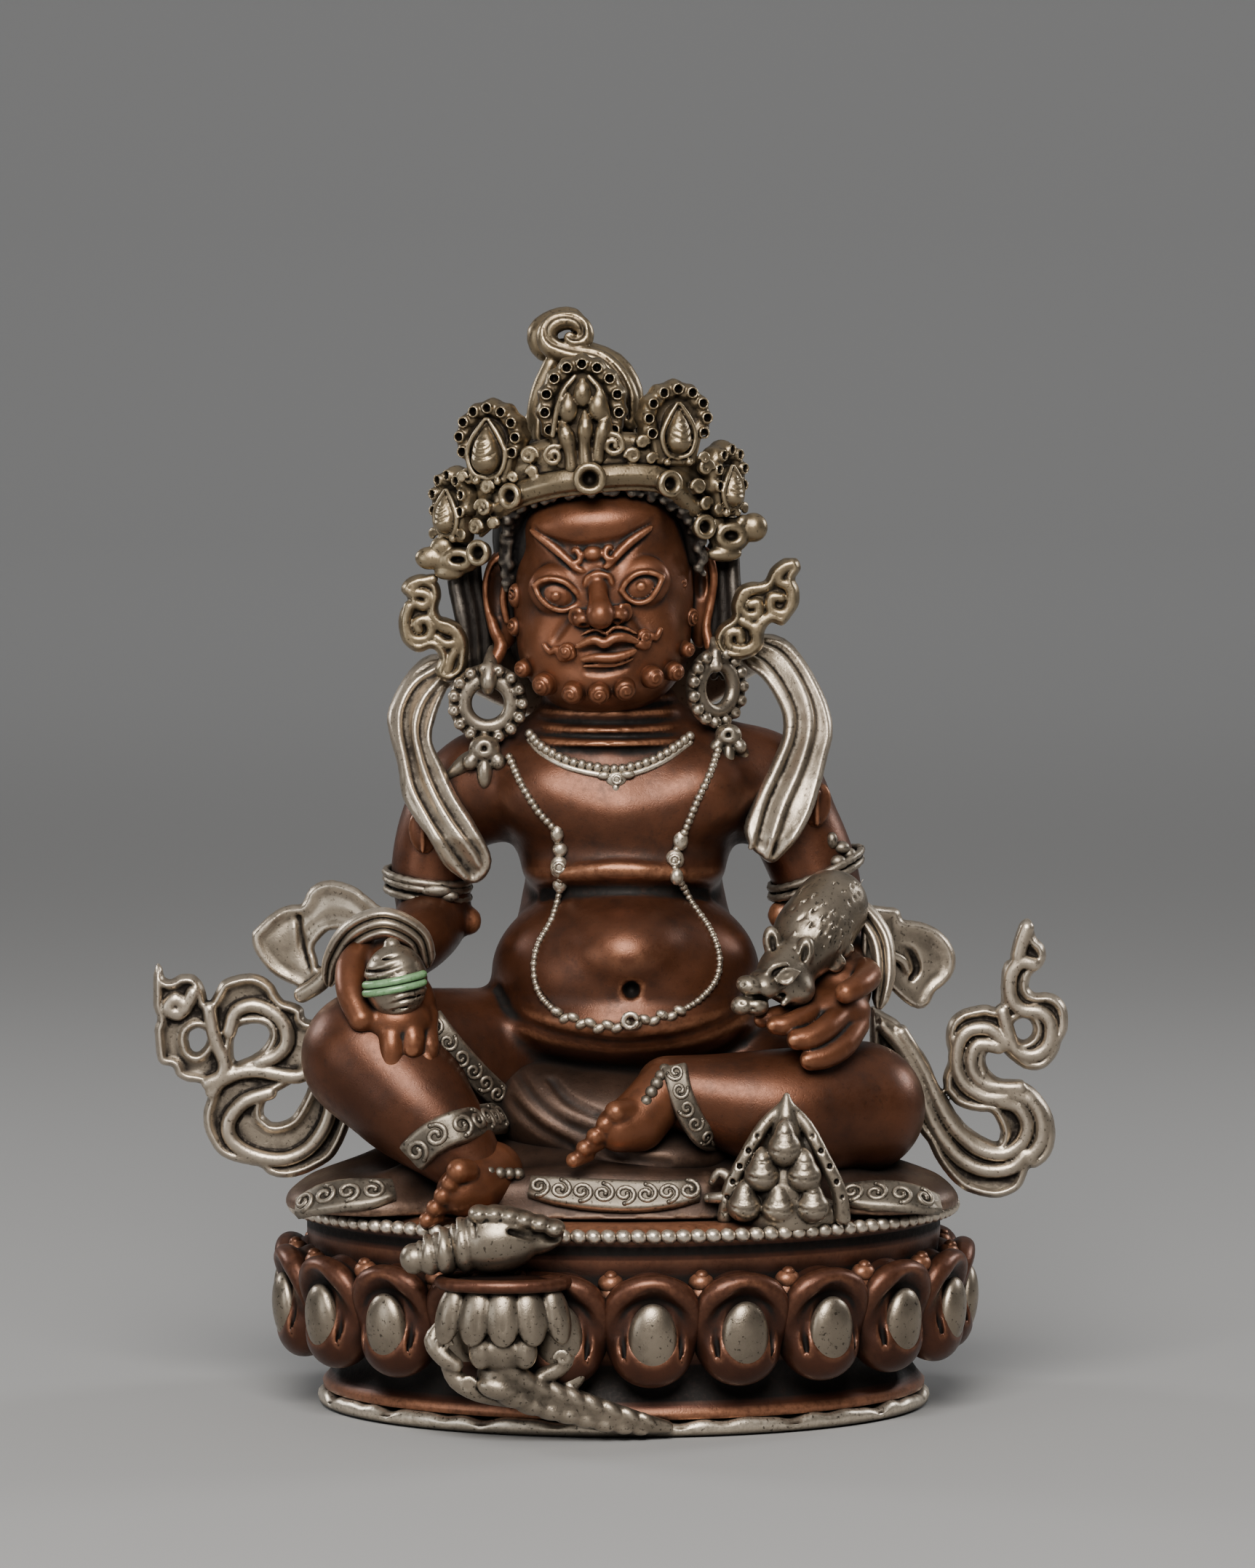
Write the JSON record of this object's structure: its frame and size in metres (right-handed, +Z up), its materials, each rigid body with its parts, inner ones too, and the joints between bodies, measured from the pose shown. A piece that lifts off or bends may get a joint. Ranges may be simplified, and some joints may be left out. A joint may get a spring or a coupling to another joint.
{
  "type": "jambhala statue",
  "caption": "Small cast statue of Jambhala seated on an oval lotus base, with a crown, flowing scarves, a mongoose, a fruit and a heap of jewels.",
  "frame": {"origin": "centre of the oval underside of the base", "axes": "+Z up, the figure faces -Y, +X to the viewer's right"},
  "size_m": [0.0958, 0.0636, 0.115],
  "materials": {
    "oxidised_copper": "dark reddish brown oxidised copper, worn to warm copper on the high places",
    "silver_plate": "silver plating, antiqued, bright on the edges and black in the recesses",
    "green_enamel": "thin worn green paint on the fruit"
  },
  "bodies": {
    "root": {"figure": "oxidised_copper", "lotus_base": "oxidised_copper"}
  },
  "joints": []
}
